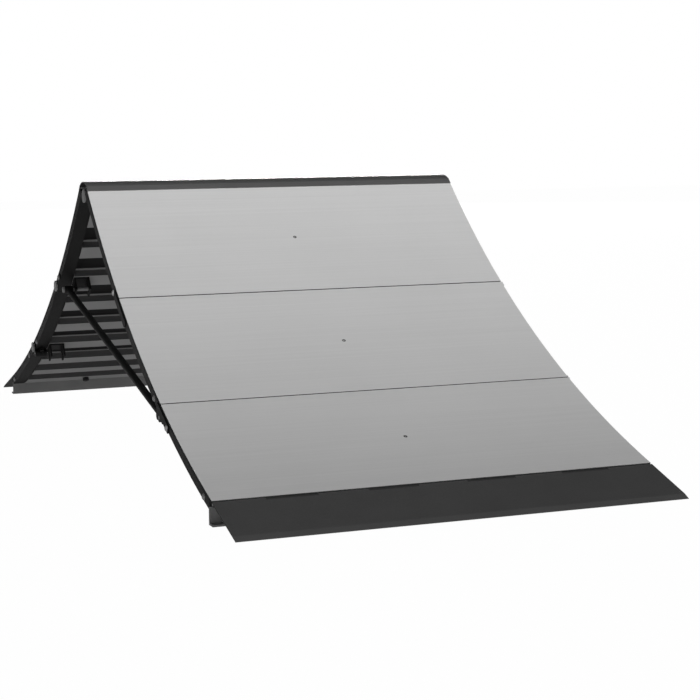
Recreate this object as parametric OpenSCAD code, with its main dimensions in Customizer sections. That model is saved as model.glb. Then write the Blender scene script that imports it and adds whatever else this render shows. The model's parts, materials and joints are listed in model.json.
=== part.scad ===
// Folding skate spine ramp: two equal three-panel curved ramps back to back under one coping.
// Millimetres, +Z up, X along the coping, front ramp on -Y, rear ramp on +Y.
// The origin lies on the floor under the middle of the coping.

/* [Riding surface] */
// Width of the riding panels
ramp_w = 1168; // [900:1:1400]
// Radius of the riding surface
arc_r = 2877; // [2600:1:3200]
// Length of the upper and the middle panel along the arc
panel_len = 461; // [430:1:490]
// Length of the lower panel along the arc
lower_len = 447; // [420:1:480]
// Slope of the riding surface at the lower panel's end, in degrees
entry_slope = 17.8; // [15:0.1:20]
// Height of the riding surface at the lower panel's end
entry_h = 60.7; // [54:0.1:75]
// Distance of the upper panel's top edge from the middle plane
ridge_half = 44.5; // [40:0.5:60]
// Gap between neighbouring panels
seam_gap = 3.6; // [3.4:0.1:5]
// Thickness of the riding panels
skin_t = 9; // [7:0.5:11]

/* [Rails and ribs] */
// Width of the side rails
rail_w = 40; // [34:1:50]
// Depth of the side rails
rail_d = 20; // [19:0.5:24]
// Wall of the side rails
rail_wall = 2.5; // [1.5:0.1:4]
// Width of a rib's crown
rib_crown = 56; // [48:1:60]
// Width of a rib's flange
rib_flange = 10; // [6:1:10]
// Depth of a rib
rib_d = 24; // [18:1:28]
// Sheet thickness of a rib
rib_t = 2; // [1:0.1:3]
// Distance of the first rib from the panel's upper end
rib_first = 118; // [100:1:140]
// Distance of the last rib from the panel's lower end
rib_low = 40; // [40:1:60]

/* [Coping] */
// Outer radius of the coping
coping_r = 86; // [75:0.5:100]
// Sheet thickness of the coping
coping_t = 2.5; // [1.5:0.1:4]
// Length of the coping's flat lap on each upper panel
coping_lap = 17; // [12:1:40]
// Depth of the spine tube's axis below the upper panels' top edges
spine_drop = 25.9; // [24:0.1:30]
// Outer radius of the spine tube
spine_r = 20; // [16:0.5:22]
// Wall of the spine tube
spine_wall = 2.5; // [1.5:0.1:4]
// Thickness of the plug's disc in the spine tube's end
plug_t = 4; // [2:0.5:8]
// Length of the plug's spigot
plug_len = 15; // [8:1:30]

/* [Upper seam hinge] */
// Distance of the hinge pivot above the upper seam
pivot_up = 46; // [44:1:56]
// Depth of the hinge pivot below the riding surface
pivot_dep = 19.3; // [18.5:0.1:20]
// Radius of the hinge pivot bolt
pivot_r = 5; // [4:0.5:6]
// How far the upper rails reach below the upper seam
rail_reach = 24; // [18:1:28]
// Gap between the ends of the upper and the middle rails
rail_end_gap = 1.2; // [1:0.1:2]
// Half width of the hinge arm
arm_r = 10; // [9:0.5:11]
// Length of the hinge arm below the upper seam
arm_len = 85; // [80:1:110]
// Thickness of the hinge arms and tie plates
plate_t = 3; // [2:0.5:4]

/* [Lower seam hinge] */
// Radius of the hinge knuckles
knuckle_r = 12; // [10:0.5:14]
// Length of the middle knuckle
knuckle_len = 12; // [8:1:16]
// Length of the knuckle's foot along the rail
knuckle_foot = 30; // [24:1:32]
// Radius of the hinge pin
fold_pin_r = 5; // [3.5:0.5:6]
// Reach of the tie plate above the lower seam
tie_up = 22; // [20:1:28]
// Length of the tie plate below the lower seam
tie_len = 88; // [84:1:110]
// Depth of the tie plate's upper edge below the riding surface
tie_dep = 9.3; // [8:0.1:10]
// Width of the tie plate
tie_w = 20; // [18:0.5:22]

/* [Clamp knobs and bolts] */
// Radius of a clamp knob
knob_r = 17; // [15:0.5:19]
// Thickness of a clamp knob
knob_t = 5; // [4:0.5:7]
// Radius of a clamp knob's screw
screw_r = 4; // [3:0.5:5]
// Distance of the upper clamp knob below the upper seam
knob_upper_down = 2; // [0:0.5:8]
// Distance of the lower clamp knob above the lower seam
knob_lower_up = 10; // [8:0.5:12]
// Depth of the clamp knobs below the riding surface
knob_dep = 22; // [20:0.1:22.5]
// Radius of a bolt's dome head
head_r = 9; // [7:0.5:9.5]
// Height of a bolt's dome head
head_h = 5; // [4:0.5:6]
// Radius of a rail bolt
bolt_r = 4; // [3:0.5:5]

/* [Braces] */
// Thickness of the brace brackets
bracket_t = 5; // [3:0.5:7]
// Clear width inside the brace brackets
bracket_gap = 40; // [36:1:50]
// Half length of the brace brackets along the rail
bracket_half = 22; // [20:0.5:28]
// Depth of the brace pins below the riding surface
brace_dep = 64; // [60:0.5:66]
// Reach of the brackets past the brace pins
bracket_end = 15; // [14:0.5:20]
// Distance of the braces from the ramp's side
brace_in = 22; // [20:0.5:24]
// Radius of the brace tube
brace_r = 10; // [8:0.5:11]
// Wall of the brace tube
brace_wall = 2; // [1.5:0.1:3]
// Radius of the brace's end barrels
barrel_r = 12; // [11:0.5:13]
// Length of the brace's end barrels
barrel_len = 26; // [22:1:28]
// Radius of the brace pins
brace_pin_r = 6; // [5:0.5:7]
// Flare of the bracket's open slot on each side, in degrees
slot_flare = 20; // [18:1:24]

/* [Toe and foot] */
// Length of the toe plate below its hinge
toe_len = 172; // [150:1:220]
// Thickness of the toe plate
toe_t = 4; // [3:0.5:5]
// Length of the thin edge at the toe plate's tip
toe_bevel = 20; // [10:1:40]
// Radius of the toe hinge's knuckles
eye_r = 6; // [5.5:0.5:7]
// Radius of the toe hinge pin
toe_pin_r = 3; // [2:0.5:3.5]
// Gap between the lower panel's end and the toe hinge
toe_gap = 2; // [1.5:0.5:4]
// Number of knuckles along the toe hinge
toe_knuckles = 9; // [5:2:13]
// Thickness of the foot plate
foot_t = 5; // [4:0.5:8]
// Distance of the foot plate behind the toe hinge
foot_in = 24; // [20:0.5:30]
// Thickness of the foot's leaf under the lower panel
leaf_t = 4; // [3:0.5:5]

/* [Clearances] */
// Gap between a piece and the seat that carries it
seat_gap = 0.3; // [0.2:0.05:0.5]
// Radial clearance of the pins and bolts
pin_fit = 0.05; // [0.02:0.01:0.1]
// Side clearance of the knuckles and barrels
side_gap = 0.5; // [0.3:0.1:1]
// Radial clearance of screws and pins in open slots
slot_fit = 0.5; // [0.3:0.1:0.8]

/* [Hidden] */
$fn = 64;
arc_fn = 720;
over = 1;

// Colours of the finishes
skin_colour = [0.74, 0.74, 0.74];
rail_colour = [0.1, 0.1, 0.1];
rib_colour = [0.5, 0.5, 0.5];
plate_colour = [0.22, 0.22, 0.22];
zinc_colour = [0.7, 0.7, 0.7];

// Angles along the arc, measured from straight below its centre
function arc_deg(len) = len / arc_r * 180 / PI;
panel_a = arc_deg(panel_len);
seam_a = arc_deg(seam_gap / 2);
a_low = entry_slope;
a_seam2 = a_low + arc_deg(lower_len);
a_seam1 = a_seam2 + panel_a;
a_top = a_seam1 + panel_a;
a_upper_bracket = a_seam1 + arc_deg(rib_low);
a_middle_bracket = a_seam2 + arc_deg(rib_low);

// Centre of the arc of the front ramp
arc_y = -ridge_half - arc_r * sin(a_top);
arc_z = entry_h + arc_r * cos(a_low);

// World [y, z] of a point that lies up the slope and below the riding surface at one angle
function slope_point(a, up, dep) = [
    arc_y + arc_r * sin(a) + up * cos(a) + dep * sin(a),
    arc_z - arc_r * cos(a) + up * sin(a) - dep * cos(a)
];

// Depths below the riding surface
rail_top = skin_t + seat_gap;
rail_bottom = rail_top + rail_d;
rib_top = skin_t + seat_gap / 2;
bracket_top = rib_top + rib_d + seat_gap;
fold_dep = rail_bottom + knuckle_r + side_gap;

// Positions across the width on the left side
x_left = -ramp_w / 2;
x_rail_in = x_left + rail_w;
x_plate = x_left - seat_gap - plate_t;
x_head = x_plate - seat_gap;
bracket_w = bracket_gap + 2 * bracket_t;
x_bracket = x_rail_in + seat_gap;
x_bracket_in = x_bracket + bracket_w;
x_brace = x_left + brace_in;
rib_len = ramp_w - 2 * (rail_w + seat_gap);

// Coping centre and half angle, so that its inside passes over the upper panels' top edges
ridge_z = arc_z - arc_r * cos(a_top);
spine_z = ridge_z - spine_drop;
coping_in = coping_r - coping_t;
coping_a = asin(ridge_half / coping_in);
coping_z = ridge_z + seat_gap - coping_in * cos(coping_a);

// Toe hinge axis and the toe plate's slope, which brings its tip down to the floor
toe_axis = slope_point(a_low, -(eye_r + toe_gap), eye_r);
toe_over = eye_r - seat_gap;
toe_under = toe_over - toe_t;
toe_slope = asin(toe_axis[1] / sqrt(toe_len * toe_len + toe_under * toe_under)) + atan2(toe_under, toe_len);
toe_seg = ramp_w / toe_knuckles;
foot_front = toe_axis[0] + foot_in;
foot_back = foot_front + foot_t;
rib_foot = foot_in + foot_t + rib_crown / 2 + rib_flange;

// Brace ends: pivot in the front upper bracket, cross pin in the rear middle bracket
brace_a = slope_point(a_upper_bracket, 0, brace_dep);
brace_hook = slope_point(a_middle_bracket, 0, brace_dep);
brace_b = [-brace_hook[0], brace_hook[1]];
brace_run = norm(brace_b - brace_a);
brace_angle = atan2(brace_b[1] - brace_a[1], brace_b[0] - brace_a[0]);

// Placing helpers
module ramp(side) {
    rotate([0, 0, side == "rear" ? 180 : 0]) children();
}

module hand(side) {
    mirror([side == "right" ? 1 : 0, 0, 0]) children();
}

module both_hands() {
    for (side = ["left", "right"]) hand(side) children();
}

// Local frame on the riding surface: +Y up the slope, +Z out of the surface
module at_surface(a) {
    translate([0, arc_y + arc_r * sin(a), arc_z - arc_r * cos(a)]) rotate([a, 0, 0]) children();
}

// Shape helpers
module arc_bar(dep1, dep2, x1, x2, a1, a2) {
    translate([0, arc_y, arc_z]) rotate([0, 90, 0]) rotate([0, 0, a1])
        rotate_extrude(angle = a2 - a1, $fn = arc_fn)
            translate([arc_r + dep1, x1]) square([dep2 - dep1, x2 - x1]);
}

module x_cylinder(r, x1, x2) {
    translate([x1, 0, 0]) rotate([0, 90, 0]) cylinder(r = r, h = x2 - x1);
}

module x_extrude(x1, x2) {
    translate([x1, 0, 0]) rotate([90, 0, 90]) linear_extrude(x2 - x1) children();
}

// Slot that runs round an axis at the 2D origin, between two angles, with a round end at the first
module ring_slot(r, half_w, a1, a2) {
    reach = 2 * r;
    a_mid = (a1 + a2) / 2;
    intersection() {
        difference() {
            circle(r + half_w);
            circle(r - half_w);
        }
        polygon([
            [0, 0], [reach * cos(a1), reach * sin(a1)],
            [reach * cos(a_mid), reach * sin(a_mid)], [reach * cos(a2), reach * sin(a2)]
        ]);
    }
    translate([r * cos(a1), r * sin(a1)]) circle(half_w);
}

// Dome-headed bolt whose head lies against the plane x, on the left side, with the shank inwards
module dome_bolt(r, x, x_end) {
    ball_r = (head_r * head_r + head_h * head_h) / (2 * head_h);
    x_cylinder(r, x - head_h / 2, x_end);
    intersection() {
        translate([x - head_h + ball_r, 0, 0]) sphere(ball_r);
        x_cylinder(head_r, x - head_h, x);
    }
}

// Panels
module skin(a1, a2) {
    color(skin_colour) arc_bar(0, skin_t, -ramp_w / 2, ramp_w / 2, a1, a2);
}

module upper_skin() {
    skin(a_seam1 + seam_a, a_top);
}

module middle_skin() {
    skin(a_seam2 + seam_a, a_seam1 - seam_a);
}

module lower_skin() {
    skin(a_low, a_seam2 - seam_a);
}

// Ribs: top-hat sections between the rails
module rib(a) {
    at_surface(a) x_extrude(-rib_len / 2, rib_len / 2) {
        for (m = [0, 1]) mirror([m, 0]) {
            translate([rib_crown / 2 - rib_t, -rib_top - rib_t]) square([rib_flange + rib_t, rib_t]);
            translate([rib_crown / 2 - rib_t, -rib_top - rib_d]) square([rib_t, rib_d]);
        }
        translate([-rib_crown / 2, -rib_top - rib_d]) square([rib_crown, rib_t]);
    }
}

module ribs(a_end, len, low) {
    color(rib_colour)
        for (s = [rib_first, (rib_first + len - low) / 2, len - low]) rib(a_end - arc_deg(s));
}

// Side rails: curved square tubes
module rail_tube(a1, a2) {
    past = arc_deg(over);
    difference() {
        arc_bar(rail_top, rail_bottom, x_left, x_rail_in, a1, a2);
        arc_bar(
            rail_top + rail_wall, rail_bottom - rail_wall,
            x_left + rail_wall, x_rail_in - rail_wall, a1 - past, a2 + past
        );
    }
}

module rail_hole(up, dep, r, depth_x) {
    translate([0, up, -dep]) x_cylinder(r, x_left - over, x_left + depth_x);
}

module upper_rail(clamp) {
    color(rail_colour) difference() {
        rail_tube(a_seam1 - arc_deg(rail_reach), a_top);
        translate([0, 0, spine_z]) x_cylinder(spine_r + seat_gap, x_left - over, x_rail_in + over);
        at_surface(a_seam1) {
            rail_hole(pivot_up, pivot_dep, pivot_r + pin_fit, rail_w + over);
            if (clamp) rail_hole(-knob_upper_down, knob_dep, screw_r + pin_fit, rail_wall + over);
        }
    }
}

// Hinge knuckle under a rail, with its foot up the slope (1) or down the slope (-1)
module knuckle(x1, x2, way) {
    translate([0, 0, -fold_dep]) {
        x_cylinder(knuckle_r, x1, x2);
        x_extrude(x1, x2)
            translate([way > 0 ? 0 : -knuckle_foot, 0])
                square([knuckle_foot, knuckle_r + side_gap + rail_wall / 2]);
    }
}

x_knuckle1 = x_left + (rail_w - knuckle_len) / 2;
x_knuckle2 = x_knuckle1 + knuckle_len;

module fold_bore() {
    translate([0, 0, -fold_dep]) x_cylinder(fold_pin_r + pin_fit, x_left - over, x_rail_in + over);
}

module middle_rail(clamp) {
    end_gap = arc_deg(seat_gap / 2);
    color(rail_colour) difference() {
        union() {
            rail_tube(a_seam2 + end_gap, a_seam1 - arc_deg(rail_reach + rail_end_gap));
            at_surface(a_seam2) {
                knuckle(x_knuckle1, x_knuckle2, 1);
            }
        }
        at_surface(a_seam2) {
            fold_bore();
            if (clamp) rail_hole(knob_lower_up, knob_dep, screw_r + pin_fit, rail_wall + over);
            rail_hole(bracket_bolt_up, bolt_dep, bolt_r + pin_fit, rail_wall + over);
        }
    }
}

module lower_rail() {
    end_gap = arc_deg(seat_gap / 2);
    color(rail_colour) difference() {
        union() {
            intersection() {
                rail_tube(a_low - arc_deg(2 * foot_t), a_seam2 - end_gap);
                translate([x_left - over, foot_back + seat_gap, 0])
                    cube([rail_w + 2 * over, lower_len, entry_h + lower_len]);
            }
            at_surface(a_seam2) {
                knuckle(x_left + side_gap, x_knuckle1 - side_gap, -1);
                knuckle(x_knuckle2 + side_gap, x_rail_in - side_gap, -1);
            }
        }
        at_surface(a_seam2) {
            fold_bore();
            rail_hole(-tie_bolt_down, bolt_dep, bolt_r + pin_fit, rail_wall + over);
        }
        at_surface(a_low) rail_hole(foot_bolt_up, bolt_dep, bolt_r + pin_fit, rail_wall + over);
    }
}

// Places of the dome-headed rail bolts
bolt_dep = tie_dep + tie_w / 2;
bolt_len = 16;
tie_bolt_down = tie_len - tie_w / 2;
bracket_bolt_up = knob_lower_up + knob_r + 3 * head_r;
foot_bolt_up = foot_in + foot_t + 3 * head_r;

// Hinge arms on the outside of the middle rails, pivoted on the upper rails
module hinge_arms() {
    knob_at = [-knob_upper_down - pivot_up, pivot_dep - knob_dep];
    slot_a = atan2(knob_at[1], knob_at[0]) + 360;
    color(rail_colour) for (side = ["left", "right"]) hand(side) at_surface(a_seam1)
        x_extrude(x_plate, x_plate + plate_t) translate([pivot_up, -pivot_dep]) difference() {
            union() {
                circle(arm_r);
                translate([-pivot_up - arm_len, -arm_r]) square([pivot_up + arm_len, 2 * arm_r]);
                translate([-pivot_up - arm_len, 0]) circle(arm_r);
            }
            circle(pivot_r + pin_fit);
            if (side == "right") ring_slot(norm(knob_at), screw_r + slot_fit, slot_a, slot_a + 30);
        }
}

// Tie plates on the outside of the lower rails, open at the clamp screw on the middle rails
module tie_plates() {
    knob_at = [knob_lower_up, fold_dep - knob_dep];
    slot_a = atan2(knob_at[1], knob_at[0]);
    color(rail_colour) for (side = ["left", "right"]) hand(side) at_surface(a_seam2)
        x_extrude(x_plate, x_plate + plate_t) difference() {
            translate([-tie_len, -tie_dep - tie_w]) square([tie_len + tie_up, tie_w]);
            translate([-tie_bolt_down, -bolt_dep]) circle(bolt_r + pin_fit);
            if (side == "right") translate([0, -fold_dep])
                ring_slot(norm(knob_at), screw_r + slot_fit, slot_a, slot_a - 60);
        }
}

// Clamp knob: scalloped disc on a screw, with its back against the plates
module knob() {
    scallops = 8;
    scallop_r = knob_r / 4;
    color(zinc_colour) {
        difference() {
            x_cylinder(knob_r, x_head - knob_t, x_head);
            for (i = [0 : scallops - 1]) rotate([i * 360 / scallops, 0, 0])
                translate([0, knob_r + scallop_r / 2, 0]) x_cylinder(scallop_r, x_head - knob_t - over, x_head + over);
        }
        x_cylinder(screw_r, x_head - knob_t / 2, x_left + bolt_len);
    }
}

module upper_knob() {
    hand("right") at_surface(a_seam1) translate([0, -knob_upper_down, -knob_dep]) knob();
}

module lower_knob() {
    hand("right") at_surface(a_seam2) translate([0, knob_lower_up, -knob_dep]) knob();
}

// Bolts and pins
module upper_pivots() {
    color(zinc_colour) {
        both_hands() at_surface(a_seam1) translate([0, pivot_up, -pivot_dep])
            dome_bolt(pivot_r, x_head, x_rail_in);
        hand("right") at_surface(a_upper_bracket) translate([0, 0, -brace_dep]) brace_pivot_pin();
    }
}

// Pin through the bracket and the brace's barrel, with a flat head outside the barrel
module brace_pivot_pin() {
    head_t = bracket_t;
    x_barrel = x_brace - barrel_len / 2;
    x_cylinder(brace_pin_r, x_barrel - head_t, x_bracket_in);
    x_cylinder(brace_pin_r * 1.5, x_barrel - seat_gap - head_t, x_barrel - seat_gap);
}

module middle_bolts() {
    color(zinc_colour) both_hands() {
        at_surface(a_seam2) translate([0, bracket_bolt_up, -bolt_dep])
            dome_bolt(bolt_r, x_left - seat_gap, x_left + bolt_len);
    }
}

module lower_bolts() {
    color(zinc_colour) both_hands() {
        at_surface(a_seam2) translate([0, -tie_bolt_down, -bolt_dep])
            dome_bolt(bolt_r, x_head, x_left + bolt_len);
        at_surface(a_low) translate([0, foot_bolt_up, -bolt_dep])
            dome_bolt(bolt_r, x_left - seat_gap, x_left + bolt_len);
    }
}

module fold_pins() {
    color(zinc_colour) both_hands() at_surface(a_seam2)
        translate([0, 0, -fold_dep]) x_cylinder(fold_pin_r, x_left, x_rail_in);
}

// Brace brackets: U-shaped, under the last rib beside the rail
module bracket_cheek() {
    drop = brace_dep + bracket_end - bracket_top;
    translate([-bracket_half, -bracket_top - drop]) square([2 * bracket_half, drop]);
}

module bracket(a, open) {
    color(rail_colour) both_hands() at_surface(a) difference() {
        union() {
            x_extrude(x_bracket, x_bracket + bracket_t) bracket_cheek();
            x_extrude(x_bracket_in - bracket_t, x_bracket_in) bracket_cheek();
            translate([x_bracket, -bracket_half, -bracket_top - bracket_t])
                cube([bracket_w, 2 * bracket_half, bracket_t]);
        }
        translate([0, 0, -brace_dep]) x_extrude(x_bracket - over, x_bracket_in + over)
            if (open) open_slot();
            else circle(brace_pin_r + pin_fit);
    }
}

// Slot for the brace's cross pin: a round seat that flares out to the bracket's lower edge
module open_slot() {
    seat_r = brace_pin_r + seat_gap;
    end = bracket_end + over;
    mouth = seat_r / cos(slot_flare) + end * tan(slot_flare);
    circle(seat_r);
    polygon([[-seat_r / cos(slot_flare), 0], [seat_r / cos(slot_flare), 0], [mouth, -end], [-mouth, -end]]);
}

module upper_brackets() {
    bracket(a_upper_bracket, false);
}

module middle_brackets() {
    bracket(a_middle_bracket, true);
}

// Brace: tube between two barrels, a bore on the pivot pin and a cross pin in the open slots
module brace() {
    barrel_half = barrel_len / 2;
    bore_r = brace_r - brace_wall;
    vent_r = brace_wall;
    color(plate_colour) translate([x_brace, brace_a[0], brace_a[1]]) rotate([brace_angle, 0, 0]) difference() {
        union() {
            x_cylinder(barrel_r, -barrel_half, barrel_half);
            rotate([-90, 0, 0]) cylinder(r = brace_r, h = brace_run);
            translate([0, brace_run, 0]) {
                x_cylinder(barrel_r, -barrel_half, barrel_half);
                x_cylinder(brace_pin_r, 0, x_bracket_in - x_brace + over);
            }
        }
        x_cylinder(brace_pin_r + pin_fit, -barrel_half - over, barrel_half + over);
        translate([0, barrel_r, 0]) rotate([-90, 0, 0]) cylinder(r = bore_r, h = brace_run - 2 * barrel_r);
        for (y = [2 * barrel_r, brace_run - 2 * barrel_r])
            translate([0, y, -brace_r - over]) cylinder(r = vent_r, h = brace_r);
    }
}

// Toe plate with its rolled knuckles, and the foot that carries the other knuckles
function toe_x(i) = -ramp_w / 2 + i * toe_seg;

module toe_plate() {
    knuckle_room = eye_r + side_gap;
    color(plate_colour) translate([0, toe_axis[0], toe_axis[1]]) rotate([toe_slope, 0, 0]) difference() {
        union() {
            difference() {
                x_extrude(-ramp_w / 2, ramp_w / 2) polygon([
                    [0, toe_under], [0, toe_over], [toe_bevel - toe_len, toe_over],
                    [-toe_len, toe_under + toe_t / 4], [-toe_len, toe_under]
                ]);
                for (i = [1 : 2 : toe_knuckles - 1])
                    translate([toe_x(i) - side_gap, -knuckle_room, -knuckle_room])
                        cube([toe_seg + 3 * side_gap, 2 * knuckle_room, 2 * knuckle_room]);
            }
            for (i = [0 : 2 : toe_knuckles - 1])
                x_cylinder(eye_r, toe_x(i) + side_gap, toe_x(i + 1) - (i + 1 < toe_knuckles ? 0 : side_gap));
        }
        x_cylinder(toe_pin_r + pin_fit, -ramp_w / 2 - over, ramp_w / 2 + over);
    }
}

// Foot: vertical plate across the rail ends, a leaf under the panel's end and a flange on the floor
module foot() {
    color(rib_colour) difference() {
        union() {
            difference() {
                translate([-ramp_w / 2, foot_front, 0]) cube([ramp_w, foot_t, entry_h]);
                arc_bar(-entry_h, rail_top, -ramp_w, ramp_w, a_low - 3, a_seam2);
            }
            translate([-ramp_w / 2, toe_axis[0] + seat_gap, 0]) cube([ramp_w, foot_in + foot_t / 2, foot_t]);
            for (i = [1 : 2 : toe_knuckles - 1]) {
                at_surface(a_low) translate([toe_x(i) + 2 * side_gap, -eye_r - toe_gap, -rail_top - leaf_t])
                    cube([toe_seg - 3 * side_gap, foot_in + eye_r, leaf_t]);
                translate([0, toe_axis[0], toe_axis[1]]) x_cylinder(eye_r, toe_x(i) + side_gap, toe_x(i + 1));
            }
        }
        translate([0, toe_axis[0], toe_axis[1]])
            x_cylinder(toe_pin_r + pin_fit, -ramp_w / 2 - over, ramp_w / 2 + over);
    }
}

module toe_pin() {
    color(zinc_colour) translate([0, toe_axis[0], toe_axis[1]]) x_cylinder(toe_pin_r, -ramp_w / 2, ramp_w / 2);
}

// Coping and spine
module coping() {
    color(plate_colour) {
        translate([0, 0, coping_z]) rotate([0, 90, 0]) rotate([0, 0, 180 - coping_a])
            rotate_extrude(angle = 2 * coping_a, $fn = arc_fn)
                translate([coping_in, -ramp_w / 2]) square([coping_t, ramp_w]);
        for (side = ["front", "rear"]) ramp(side) at_surface(a_top)
            translate([side_gap - ramp_w / 2, -coping_lap, seat_gap])
                cube([ramp_w - 2 * side_gap, coping_lap + coping_t / 2, coping_t]);
    }
}

module spine_tube() {
    half = ramp_w / 2 - plug_t;
    color(rail_colour) translate([0, 0, spine_z]) difference() {
        x_cylinder(spine_r, -half, half);
        x_cylinder(spine_r - spine_wall, -half - over, half + over);
    }
}

module spine_plugs() {
    color(zinc_colour) both_hands() translate([0, 0, spine_z]) {
        x_cylinder(spine_r, x_left, x_left + plug_t);
        x_cylinder(spine_r - spine_wall - pin_fit, x_left + plug_t / 2, x_left + plug_t + plug_len);
    }
}

coping();
spine_tube();
spine_plugs();

ramp("front") upper_skin();  // front_upper_skin
ramp("front") hand("left") upper_rail(false);  // front_upper_left_rail
ramp("front") hand("right") upper_rail(true);  // front_upper_right_rail
ramp("front") ribs(a_top, panel_len, rib_low);  // front_upper_ribs
ramp("front") upper_brackets();  // front_upper_brackets
ramp("front") upper_pivots();  // front_upper_pivots
ramp("front") middle_skin();  // front_middle_skin
ramp("front") hand("left") middle_rail(false);  // front_middle_left_rail
ramp("front") hand("right") middle_rail(true);  // front_middle_right_rail
ramp("front") ribs(a_seam1, panel_len, rib_low);  // front_middle_ribs
ramp("front") middle_brackets();  // front_middle_brackets
ramp("front") hinge_arms();  // front_hinge_arms
ramp("front") middle_bolts();  // front_middle_bolts
ramp("front") fold_pins();  // front_fold_pins
ramp("front") lower_skin();  // front_lower_skin
ramp("front") hand("left") lower_rail();  // front_lower_left_rail
ramp("front") hand("right") lower_rail();  // front_lower_right_rail
ramp("front") ribs(a_seam2, lower_len, rib_foot);  // front_lower_ribs
ramp("front") tie_plates();  // front_tie_plates
ramp("front") lower_bolts();  // front_lower_bolts
ramp("front") foot();  // front_foot
ramp("front") toe_pin();  // front_toe_pin
ramp("front") toe_plate();  // front_toe_plate
ramp("front") upper_knob();  // front_upper_knob
ramp("front") lower_knob();  // front_lower_knob

ramp("rear") upper_skin();  // rear_upper_skin
ramp("rear") hand("left") upper_rail(false);  // rear_upper_left_rail
ramp("rear") hand("right") upper_rail(true);  // rear_upper_right_rail
ramp("rear") ribs(a_top, panel_len, rib_low);  // rear_upper_ribs
ramp("rear") upper_brackets();  // rear_upper_brackets
ramp("rear") upper_pivots();  // rear_upper_pivots
ramp("rear") middle_skin();  // rear_middle_skin
ramp("rear") hand("left") middle_rail(false);  // rear_middle_left_rail
ramp("rear") hand("right") middle_rail(true);  // rear_middle_right_rail
ramp("rear") ribs(a_seam1, panel_len, rib_low);  // rear_middle_ribs
ramp("rear") middle_brackets();  // rear_middle_brackets
ramp("rear") hinge_arms();  // rear_hinge_arms
ramp("rear") middle_bolts();  // rear_middle_bolts
ramp("rear") fold_pins();  // rear_fold_pins
ramp("rear") lower_skin();  // rear_lower_skin
ramp("rear") hand("left") lower_rail();  // rear_lower_left_rail
ramp("rear") hand("right") lower_rail();  // rear_lower_right_rail
ramp("rear") ribs(a_seam2, lower_len, rib_foot);  // rear_lower_ribs
ramp("rear") tie_plates();  // rear_tie_plates
ramp("rear") lower_bolts();  // rear_lower_bolts
ramp("rear") foot();  // rear_foot
ramp("rear") toe_pin();  // rear_toe_pin
ramp("rear") toe_plate();  // rear_toe_plate
ramp("rear") upper_knob();  // rear_upper_knob
ramp("rear") lower_knob();  // rear_lower_knob

ramp("rear") hand("right") brace();  // left_brace
ramp("front") hand("right") brace();  // right_brace
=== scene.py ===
import json
import math

import bmesh
import bpy
from mathutils import Matrix, Vector


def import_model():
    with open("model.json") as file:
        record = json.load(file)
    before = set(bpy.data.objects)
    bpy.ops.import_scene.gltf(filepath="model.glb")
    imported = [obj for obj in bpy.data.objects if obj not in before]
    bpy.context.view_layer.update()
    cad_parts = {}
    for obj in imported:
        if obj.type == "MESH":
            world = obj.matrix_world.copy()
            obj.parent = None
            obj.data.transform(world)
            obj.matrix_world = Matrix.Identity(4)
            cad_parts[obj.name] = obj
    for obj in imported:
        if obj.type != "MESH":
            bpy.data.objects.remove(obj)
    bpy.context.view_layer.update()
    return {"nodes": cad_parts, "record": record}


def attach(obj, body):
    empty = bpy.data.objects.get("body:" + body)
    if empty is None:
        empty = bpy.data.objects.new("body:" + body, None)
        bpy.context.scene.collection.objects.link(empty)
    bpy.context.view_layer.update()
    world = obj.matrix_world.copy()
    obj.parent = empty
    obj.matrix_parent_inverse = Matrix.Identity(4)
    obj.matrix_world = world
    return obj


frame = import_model()

# Sizes shared with the CAD, in metres and degrees
ARC_R = 2.877
PANEL_LEN = 0.461
LOWER_LEN = 0.447
ENTRY_H = 0.0607
RIDGE_HALF = 0.0445
A_LOW = 17.8
A_SEAM2 = A_LOW + math.degrees(LOWER_LEN / ARC_R)
A_SEAM1 = A_SEAM2 + math.degrees(PANEL_LEN / ARC_R)
A_TOP = A_SEAM1 + math.degrees(PANEL_LEN / ARC_R)
ARC_Y = -RIDGE_HALF - ARC_R * math.sin(math.radians(A_TOP))
ARC_Z = ENTRY_H + ARC_R * math.cos(math.radians(A_LOW))
PANELS = {"upper": (A_SEAM1, A_TOP), "middle": (A_SEAM2, A_SEAM1), "lower": (A_LOW, A_SEAM2)}
RAMPS = {"front": 1, "rear": -1}
KNUCKLE_Z = 0.043

# Sizes of the small fasteners that are left to the looks, in metres
ROUND_SIDES = 48
SCREW_R = 0.0052
SCREW_T = 0.0012
SCREW_EDGE = 0.0004
SCREW_SINK = 0.0001
DRIVE_R = 0.0022
DRIVE_FLOOR_R = 0.0019
DRIVE_DEPTH = 0.0005
WASHER_R = 0.0080
WASHER_T = 0.0012
WASHER_EDGE = 0.0003
NUT_SIDES = 6
NUT_R = 0.0070
NUT_T = 0.0052
NUT_SINK = 0.0130
FREE_CHAMFER = (0.0008, 0.0006)
SEAT_CHAMFER = (0.0006, 0.0004)
END_SIDES = 24
END_R = 0.0030
END_LEN = 0.0012
END_EDGE = 0.0005
STOP_R = 0.0115
STOP_T = 0.0140
STOP_EDGE = 0.0042
STOP_SINK = 0.0400
STOP_UP = 0.075
STOP_X = 0.327
SUNK_R = 0.0048
SUNK_FLOOR_R = 0.0044
SUNK_DEPTH = 0.0020

# Camera, fitted to the photo's edges, in metres, radians and millimetres of film
CAMERA_PLACE = Vector((-1.719, -4.800, 0.848))
CAMERA_TURN = math.radians(-19.34)
CAMERA_DIP = math.radians(4.97)
CAMERA_ROLL = math.radians(-0.91)
FILM_WIDTH = 36.0
LENS = 85.43
SHIFT_X = 0.1273
SHIFT_Y = -0.0693
FAR_CLIP = 100.0

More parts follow.
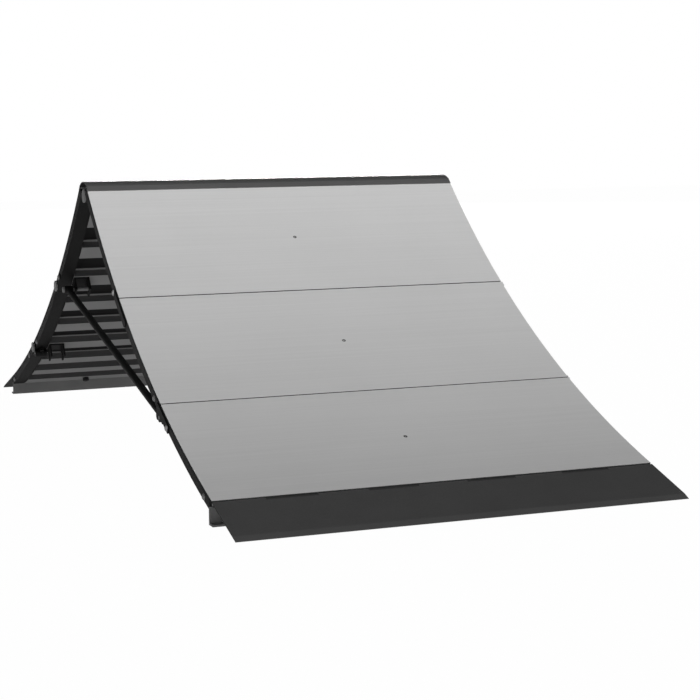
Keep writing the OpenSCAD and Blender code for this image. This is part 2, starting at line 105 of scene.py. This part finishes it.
# Floor and world
FLOOR_SIZE = 60.0
FLOOR_DROP = 0.0005
FLOOR_GLOW = 0.20
CAMERA_GLOW = 0.79
WORLD_LIGHT = 0.06
WHITE = (1.0, 1.0, 1.0, 1.0)


# Materials

def new_material(name):
    mat = bpy.data.materials.new(name)
    mat.use_nodes = True
    nodes = mat.node_tree.nodes
    nodes.clear()
    out = nodes.new("ShaderNodeOutputMaterial")
    shader = nodes.new("ShaderNodeBsdfPrincipled")
    mat.node_tree.links.new(shader.outputs["BSDF"], out.inputs["Surface"])
    return mat, nodes, mat.node_tree.links, shader


def noise(nodes, links, coords, scale, detail=4.0, rough=0.6):
    tex = nodes.new("ShaderNodeTexNoise")
    tex.inputs["Scale"].default_value = scale
    tex.inputs["Detail"].default_value = detail
    tex.inputs["Roughness"].default_value = rough
    links.new(coords, tex.inputs["Vector"])
    return tex.outputs["Fac"]


def tones(nodes, links, fac, low, high, lo=0.3, hi=0.7):
    """Greys from low to high over the middle of a noise's range."""
    node = nodes.new("ShaderNodeValToRGB")
    node.color_ramp.elements[0].position = lo
    node.color_ramp.elements[1].position = hi
    node.color_ramp.elements[0].color = grey(low)
    node.color_ramp.elements[1].color = grey(high)
    links.new(fac, node.inputs["Fac"])
    return node.outputs["Color"]


def spread(nodes, links, fac, low, high):
    """Values from low to high over the middle of a noise's range."""
    node = nodes.new("ShaderNodeMapRange")
    node.inputs["From Min"].default_value = 0.3
    node.inputs["From Max"].default_value = 0.7
    node.inputs["To Min"].default_value = low
    node.inputs["To Max"].default_value = high
    links.new(fac, node.inputs["Value"])
    return node.outputs["Result"]


def bump(nodes, links, height, strength, distance, shader):
    node = nodes.new("ShaderNodeBump")
    node.inputs["Strength"].default_value = strength
    node.inputs["Distance"].default_value = distance
    links.new(height, node.inputs["Height"])
    links.new(node.outputs["Normal"], shader.inputs["Normal"])


def grey(v):
    return (v, v, v, 1.0)


def above(nodes, links, coords, limit):
    """One where the Z of the coordinates lies above a limit, and zero elsewhere."""
    axes = nodes.new("ShaderNodeSeparateXYZ")
    links.new(coords, axes.inputs["Vector"])
    test = nodes.new("ShaderNodeMath")
    test.operation = "GREATER_THAN"
    test.inputs[1].default_value = limit
    links.new(axes.outputs["Z"], test.inputs[0])
    return test.outputs["Value"]


def coating(name, tone, vary, rough, metallic, grain, strength):
    """Painted or plated metal with cloudy tone, uneven gloss and a fine grain."""
    mat, nodes, links, shader = new_material(name)
    coords = nodes.new("ShaderNodeTexCoord").outputs["Object"]
    cloud = noise(nodes, links, coords, 9.0, 5.0)
    fine = noise(nodes, links, coords, grain, 3.0)
    colour = tones(nodes, links, cloud, tone * (1 - vary), tone * (1 + vary))
    links.new(colour, shader.inputs["Base Color"])
    links.new(spread(nodes, links, fine, rough - 0.08, rough + 0.08), shader.inputs["Roughness"])
    shader.inputs["Metallic"].default_value = metallic
    bump(nodes, links, fine, strength, 0.0006, shader)
    return mat


def board():
    """Painted riding board: light grip paint on top, and painted shade below and on the edges: a near-black
    colour on every face that does not face up, in place of the shade there.
    """
    mat, nodes, links, shader = new_material("riding_board")
    tex = nodes.new("ShaderNodeTexCoord")
    cloud = noise(nodes, links, tex.outputs["Object"], 3.5, 6.0)
    grip = noise(nodes, links, tex.outputs["Object"], 650.0, 2.0)
    squeeze = nodes.new("ShaderNodeVectorMath")
    squeeze.operation = "MULTIPLY"
    squeeze.inputs[1].default_value = (1.08, 170.0, 170.0)
    links.new(tex.outputs["Object"], squeeze.inputs[0])
    streak = noise(nodes, links, squeeze.outputs["Vector"], 1.0, 3.0)
    tone = nodes.new("ShaderNodeMix")
    tone.inputs["Factor"].default_value = 0.65
    links.new(cloud, tone.inputs["A"])
    links.new(streak, tone.inputs["B"])
    mix = nodes.new("ShaderNodeMix")
    mix.data_type = "RGBA"
    # Painted shade: faces that do not face up (underside and edges) get a near-black colour that stands in
    # for the shade falling there.
    links.new(above(nodes, links, tex.outputs["Normal"], 0.3), mix.inputs["Factor"])
    links.new(tones(nodes, links, cloud, 0.014, 0.019), mix.inputs["A"])
    links.new(tones(nodes, links, tone.outputs["Result"], 0.478, 0.522), mix.inputs["B"])
    links.new(mix.outputs["Result"], shader.inputs["Base Color"])
    links.new(spread(nodes, links, grip, 0.55, 0.75), shader.inputs["Roughness"])
    shader.inputs["Specular IOR Level"].default_value = 0.3
    bump(nodes, links, grip, 0.12, 0.0005, shader)
    return mat


def two_tone_and_painted_shade(mat, coords, limit, tone):
    """A coating with another tone where the Z of its coordinates lies above a limit: real two-tone paint on
    the foot, and painted shade on the upward-facing rib webs.
    """
    nodes, links = mat.node_tree.nodes, mat.node_tree.links
    colour = nodes["Principled BSDF"].inputs["Base Color"]
    mix = nodes.new("ShaderNodeMix")
    mix.data_type = "RGBA"
    links.new(above(nodes, links, nodes["Texture Coordinate"].outputs[coords], limit), mix.inputs["Factor"])
    links.new(colour.links[0].from_socket, mix.inputs["A"])
    mix.inputs["B"].default_value = grey(tone)
    links.new(mix.outputs["Result"], colour)
    return mat


def rib_sheet():
    """Rib sheet with painted shade: the faces that face up, the webs on the upper side, get a darker grey
    than the crowns in place of their shade.
    """
    return two_tone_and_painted_shade(coating("rib_sheet", 0.42, 0.08, 0.60, 0.0, 180.0, 0.05), "Normal", 0.0, 0.13)


def foot_sheet():
    """Foot in about the ribs' grey, with the black toe hinge knuckles at its top."""
    return two_tone_and_painted_shade(coating("foot_sheet", 0.36, 0.08, 0.60, 0.0, 180.0, 0.05), "Object", KNUCKLE_Z, 0.012)


MATERIALS = {
    "riding_board": board(),
    "coping_sheet": coating("coping_sheet", 0.074, 0.06, 0.45, 0.0, 260.0, 0.05),
    "toe_sheet": coating("toe_sheet", 0.048, 0.06, 0.60, 0.0, 320.0, 0.08),
    "rib_sheet": rib_sheet(),
    "knob_zinc": coating("knob_zinc", 0.45, 0.08, 0.45, 0.1, 300.0, 0.06),
    "zinc_fastener": coating("zinc_fastener", 0.40, 0.10, 0.42, 0.1, 340.0, 0.05),
    "black_frame": coating("black_frame", 0.006, 0.15, 0.60, 0.0, 240.0, 0.08),
    "foot_sheet": foot_sheet(),
    "dark_screw": coating("dark_screw", 0.02, 0.15, 0.45, 0.0, 400.0, 0.05),
}
SLOTS = {s["node"]: s["material_slot"] for s in frame["record"]["subparts"]}
for name, obj in frame["nodes"].items():
    obj.data.materials.clear()
    obj.data.materials.append(MATERIALS["foot_sheet" if name.endswith("_foot") else SLOTS[name]])


# Small fasteners

def surface_frame(angle, sign):
    """Point of the riding surface at an angle of its arc, and the way out of the board there."""
    a = math.radians(angle)
    out = Vector((0.0, -sign * math.sin(a), math.cos(a)))
    spot = Vector((0.0, sign * (ARC_Y + ARC_R * math.sin(a)), ARC_Z - ARC_R * math.cos(a)))
    return spot, out


def turned(name, forms, centre, axis, material, body):
    """One piece from forms turned round its axis, each a list of (radius, height) rings and its sides."""
    mesh = bpy.data.meshes.new(name)
    bm = bmesh.new()
    for rings, sides in forms:
        turns = [math.tau * i / sides for i in range(sides)]
        loops = [[bm.verts.new((r * math.cos(t), r * math.sin(t), h)) for t in turns] for r, h in rings]
        for low, high in zip(loops, loops[1:]):
            for i in range(sides):
                j = (i + 1) % sides
                bm.faces.new((low[i], low[j], high[j], high[i]))
        bm.faces.new(loops[0][::-1])
        bm.faces.new(loops[-1])
    bm.to_mesh(mesh)
    bm.free()
    obj = bpy.data.objects.new(name, mesh)
    bpy.context.scene.collection.objects.link(obj)
    obj.matrix_world = Matrix.Translation(centre) @ axis.to_track_quat("Z", "Y").to_matrix().to_4x4()
    bpy.context.view_layer.update()
    mesh.materials.append(MATERIALS[material])
    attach(obj, body)


def rounded(radius, low, high, edge, steps=4):
    """Rings of a turned form with both edges rounded."""
    angles = [math.radians(90.0 * i / steps) for i in range(steps + 1)]
    foot = [(radius - edge + edge * math.sin(a), low + edge - edge * math.cos(a)) for a in angles]
    head = [(radius - edge + edge * math.cos(a), high - edge + edge * math.sin(a)) for a in angles]
    return foot + head


def screw_forms():
    """Flat round head with a round drive recess."""
    half = SCREW_T / 2
    recess = [(DRIVE_R, half), (DRIVE_FLOOR_R, half - DRIVE_DEPTH)]
    return [(rounded(SCREW_R, -half, half, SCREW_EDGE) + recess, ROUND_SIDES)]


def nut_forms():
    """Washer against the board, six-sided nut with chamfered ends, and the screw's end."""
    half = NUT_T / 2
    washer = rounded(WASHER_R, half, half + WASHER_T, WASHER_EDGE)
    nut = [
        (NUT_R - FREE_CHAMFER[0], -half),
        (NUT_R, -half + FREE_CHAMFER[1]),
        (NUT_R, half - SEAT_CHAMFER[1]),
        (NUT_R - SEAT_CHAMFER[0], half),
    ]
    end = rounded(END_R, -half - END_LEN, -half, END_EDGE)
    return [(washer, ROUND_SIDES), (nut, NUT_SIDES), (end, END_SIDES)]


def stop_forms():
    """Rounded stop with a sunk hole in its lower face."""
    half = STOP_T / 2
    sunk = [(SUNK_FLOOR_R, -half + SUNK_DEPTH), (SUNK_R, -half)]
    return [(sunk + rounded(STOP_R, -half, half, STOP_EDGE), ROUND_SIDES)]


for ramp, sign in RAMPS.items():
    for panel, (a, b) in PANELS.items():
        body = "spine" if panel == "upper" else f"{ramp}_{panel}"
        spot, out = surface_frame((a + b) / 2, sign)
        turned(f"{ramp}_{panel}_screw", screw_forms(), spot - out * SCREW_SINK, out,
               "dark_screw", body)
        turned(f"{ramp}_{panel}_nut", nut_forms(), spot - out * NUT_SINK, out,
               "dark_screw", body)
    # Dark stop under the last rib of the lower panel
    spot, out = surface_frame(A_LOW + math.degrees(STOP_UP / ARC_R), sign)
    spot = spot - out * STOP_SINK + Vector((sign * STOP_X, 0.0, 0.0))
    turned(f"{ramp}_rib_stop", stop_forms(), spot, out, "dark_screw", f"{ramp}_lower")


# Camera

def place_camera():
    flat = math.cos(CAMERA_DIP)
    forward = Vector((-math.sin(CAMERA_TURN) * flat, math.cos(CAMERA_TURN) * flat, -math.sin(CAMERA_DIP)))
    side = forward.cross(Vector((0, 0, 1))).normalized()
    top = side.cross(forward)
    right = side * math.cos(CAMERA_ROLL) + top * math.sin(CAMERA_ROLL)
    up = right.cross(forward)
    cam = bpy.data.objects.new("camera", bpy.data.cameras.new("camera"))
    bpy.context.scene.collection.objects.link(cam)
    turn = Matrix((right, up, -forward)).transposed().to_4x4()
    cam.matrix_world = Matrix.Translation(CAMERA_PLACE) @ turn
    cam.data.sensor_width = FILM_WIDTH
    cam.data.lens = LENS
    cam.data.shift_x = SHIFT_X
    cam.data.shift_y = SHIFT_Y
    cam.data.clip_end = FAR_CLIP
    bpy.context.scene.camera = cam


place_camera()


# Stage and light

def floor():
    """Pale floor that the camera sees as white."""
    bpy.ops.mesh.primitive_plane_add(size=FLOOR_SIZE, location=(0, 0, -FLOOR_DROP))
    obj = bpy.context.object
    obj.name = "floor"
    mat, nodes, links, shader = new_material("floor")
    shader.inputs["Base Color"].default_value = grey(0.8)
    shader.inputs["Roughness"].default_value = 0.9
    glow = nodes.new("ShaderNodeEmission")
    glow.inputs["Color"].default_value = WHITE
    path = nodes.new("ShaderNodeLightPath")
    share = nodes.new("ShaderNodeMath")
    share.operation = "MULTIPLY_ADD"
    share.inputs[1].default_value = CAMERA_GLOW
    share.inputs[2].default_value = FLOOR_GLOW
    links.new(path.outputs["Is Camera Ray"], share.inputs[0])
    mix = nodes.new("ShaderNodeMixShader")
    links.new(share.outputs["Value"], mix.inputs["Fac"])
    links.new(shader.outputs["BSDF"], mix.inputs[1])
    links.new(glow.outputs["Emission"], mix.inputs[2])
    links.new(mix.outputs["Shader"], nodes["Material Output"].inputs["Surface"])
    obj.data.materials.append(mat)


def world():
    """White backdrop for the camera, with little light on the ramp."""
    w = bpy.data.worlds.new("world")
    bpy.context.scene.world = w
    w.use_nodes = True
    nodes, links = w.node_tree.nodes, w.node_tree.links
    nodes.clear()
    out = nodes.new("ShaderNodeOutputWorld")
    seen = nodes.new("ShaderNodeBackground")
    seen.inputs["Color"].default_value = WHITE
    lit = nodes.new("ShaderNodeBackground")
    lit.inputs["Color"].default_value = WHITE
    lit.inputs["Strength"].default_value = WORLD_LIGHT
    path = nodes.new("ShaderNodeLightPath")
    mix = nodes.new("ShaderNodeMixShader")
    links.new(path.outputs["Is Camera Ray"], mix.inputs["Fac"])
    links.new(lit.outputs["Background"], mix.inputs[1])
    links.new(seen.outputs["Background"], mix.inputs[2])
    links.new(mix.outputs["Shader"], out.inputs["Surface"])


def area(name, place, target, size, power):
    """Square soft light at a place, turned to a target."""
    light = bpy.data.lights.new(name, "AREA")
    light.shape = "SQUARE"
    light.size = size
    light.energy = power
    obj = bpy.data.objects.new(name, light)
    bpy.context.scene.collection.objects.link(obj)
    place, target = Vector(place), Vector(target)
    turn = (target - place).to_track_quat("-Z", "Y").to_matrix().to_4x4()
    obj.matrix_world = Matrix.Translation(place) @ turn


floor()
world()
area("key", (4.0, -25.0, 1.3), (0, -0.6, 0.4), 6.0, 11300.0)
area("fill", (-3.6, -4.6, 0.3), (-0.4, 0.5, 0.35), 2.0, 22.0)
area("back", (8.0, 22.0, 2.5), (0, 0.6, 0.4), 6.0, 7000.0)
area("top", (0.0, 0.5, 6.0), (0, 0, 0.4), 4.0, 8.0)

scene = bpy.context.scene
scene.view_settings.view_transform = "Standard"
